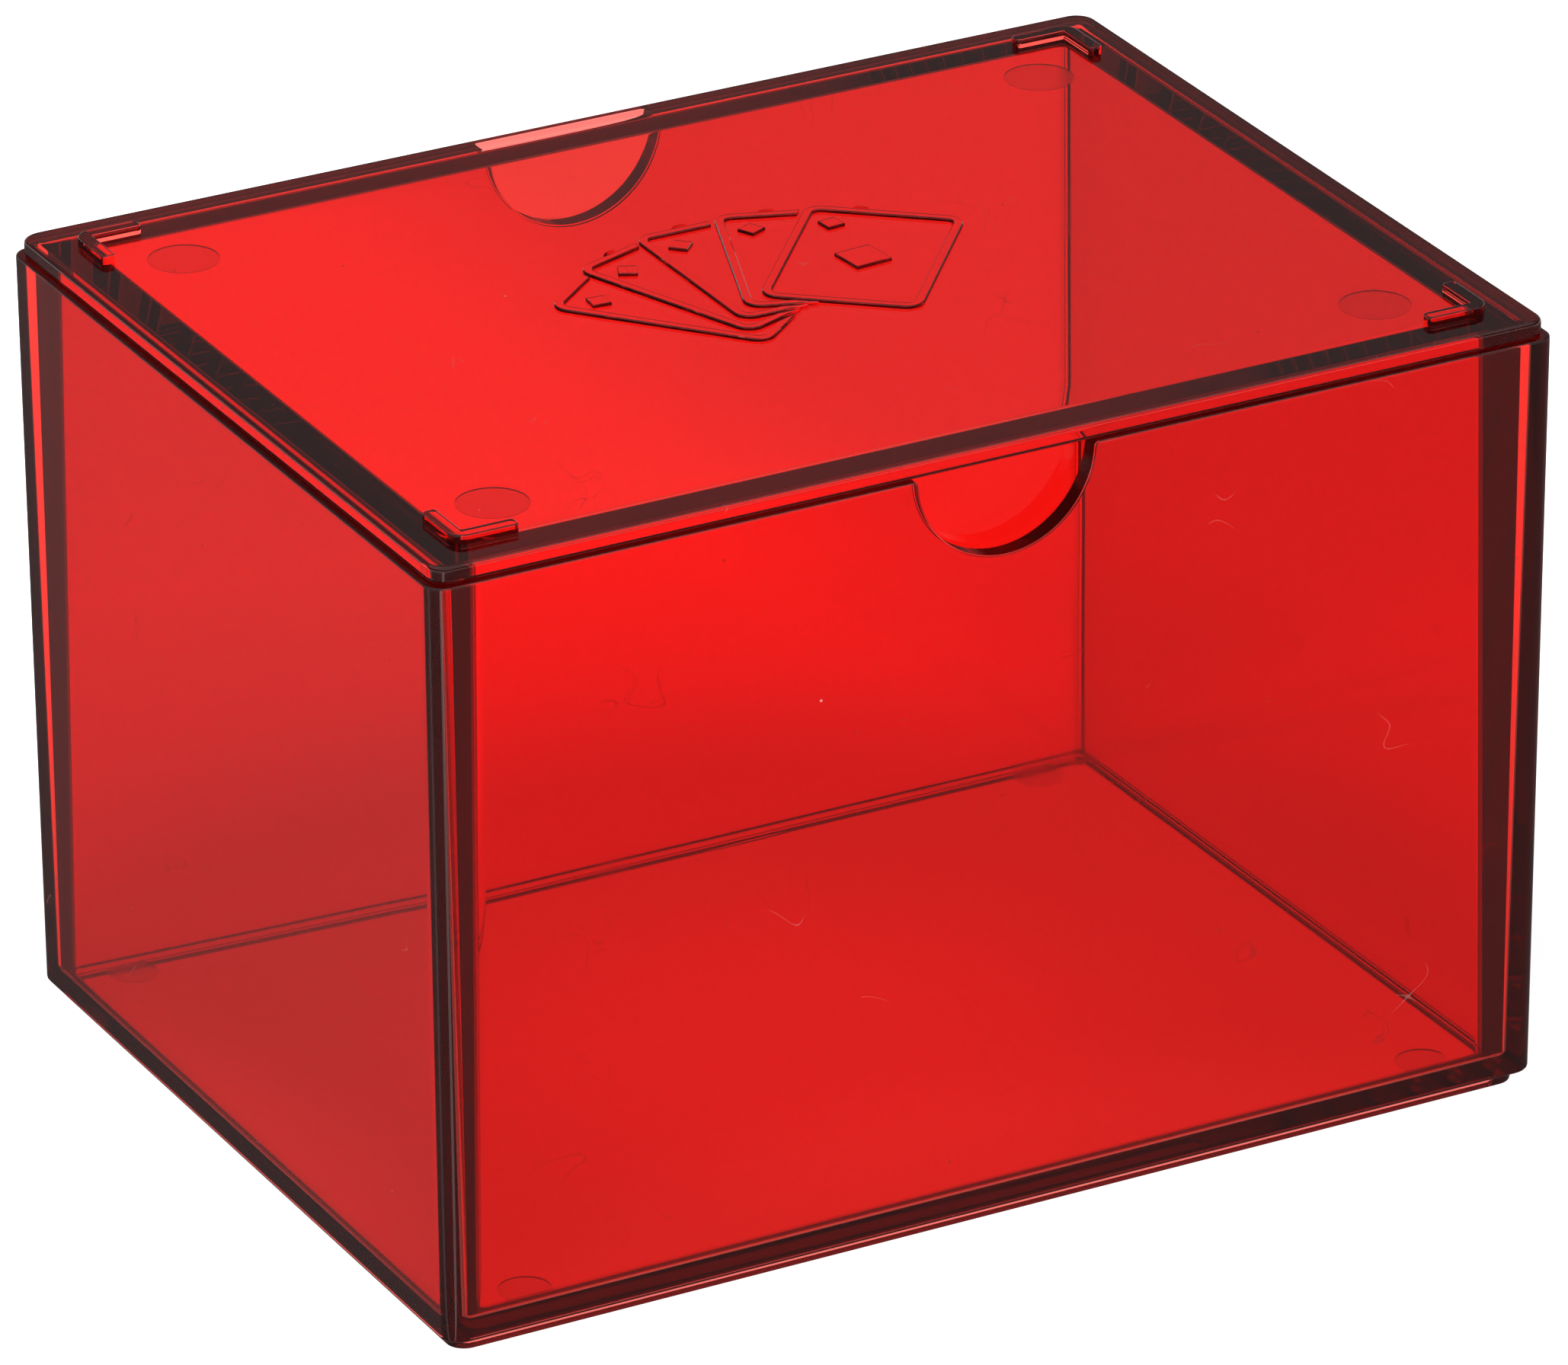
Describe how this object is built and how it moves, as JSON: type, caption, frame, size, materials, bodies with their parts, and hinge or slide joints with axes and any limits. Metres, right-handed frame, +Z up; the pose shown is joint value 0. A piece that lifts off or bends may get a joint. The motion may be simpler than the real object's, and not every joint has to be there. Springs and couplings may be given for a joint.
{
  "type": "card deck box",
  "caption": "Two-piece box for a deck of sleeved playing cards: an open tray with thumb notches and a full-depth lift-off lid that slides inside it.",
  "frame": {"origin": "centre of the footprint, on the surface the box stands on", "axes": "+X along the long side, -Y the front with a thumb notch, +Z up, the way the lid lifts off"},
  "size_m": [0.106, 0.0802, 0.0727],
  "materials": {
    "base_plastic": "clear red, moulded and polished",
    "lid_plastic": "clear red, moulded and polished"
  },
  "bodies": {
    "base": {"base_shell": "base_plastic"},
    "lid": {"lid_shell": "lid_plastic"}
  },
  "joints": [
    {"name": "lid_lift", "type": "slide", "parent": "base", "child": "lid", "axis": [0, 0, 1], "range_m": [0, 0.075]}
  ]
}
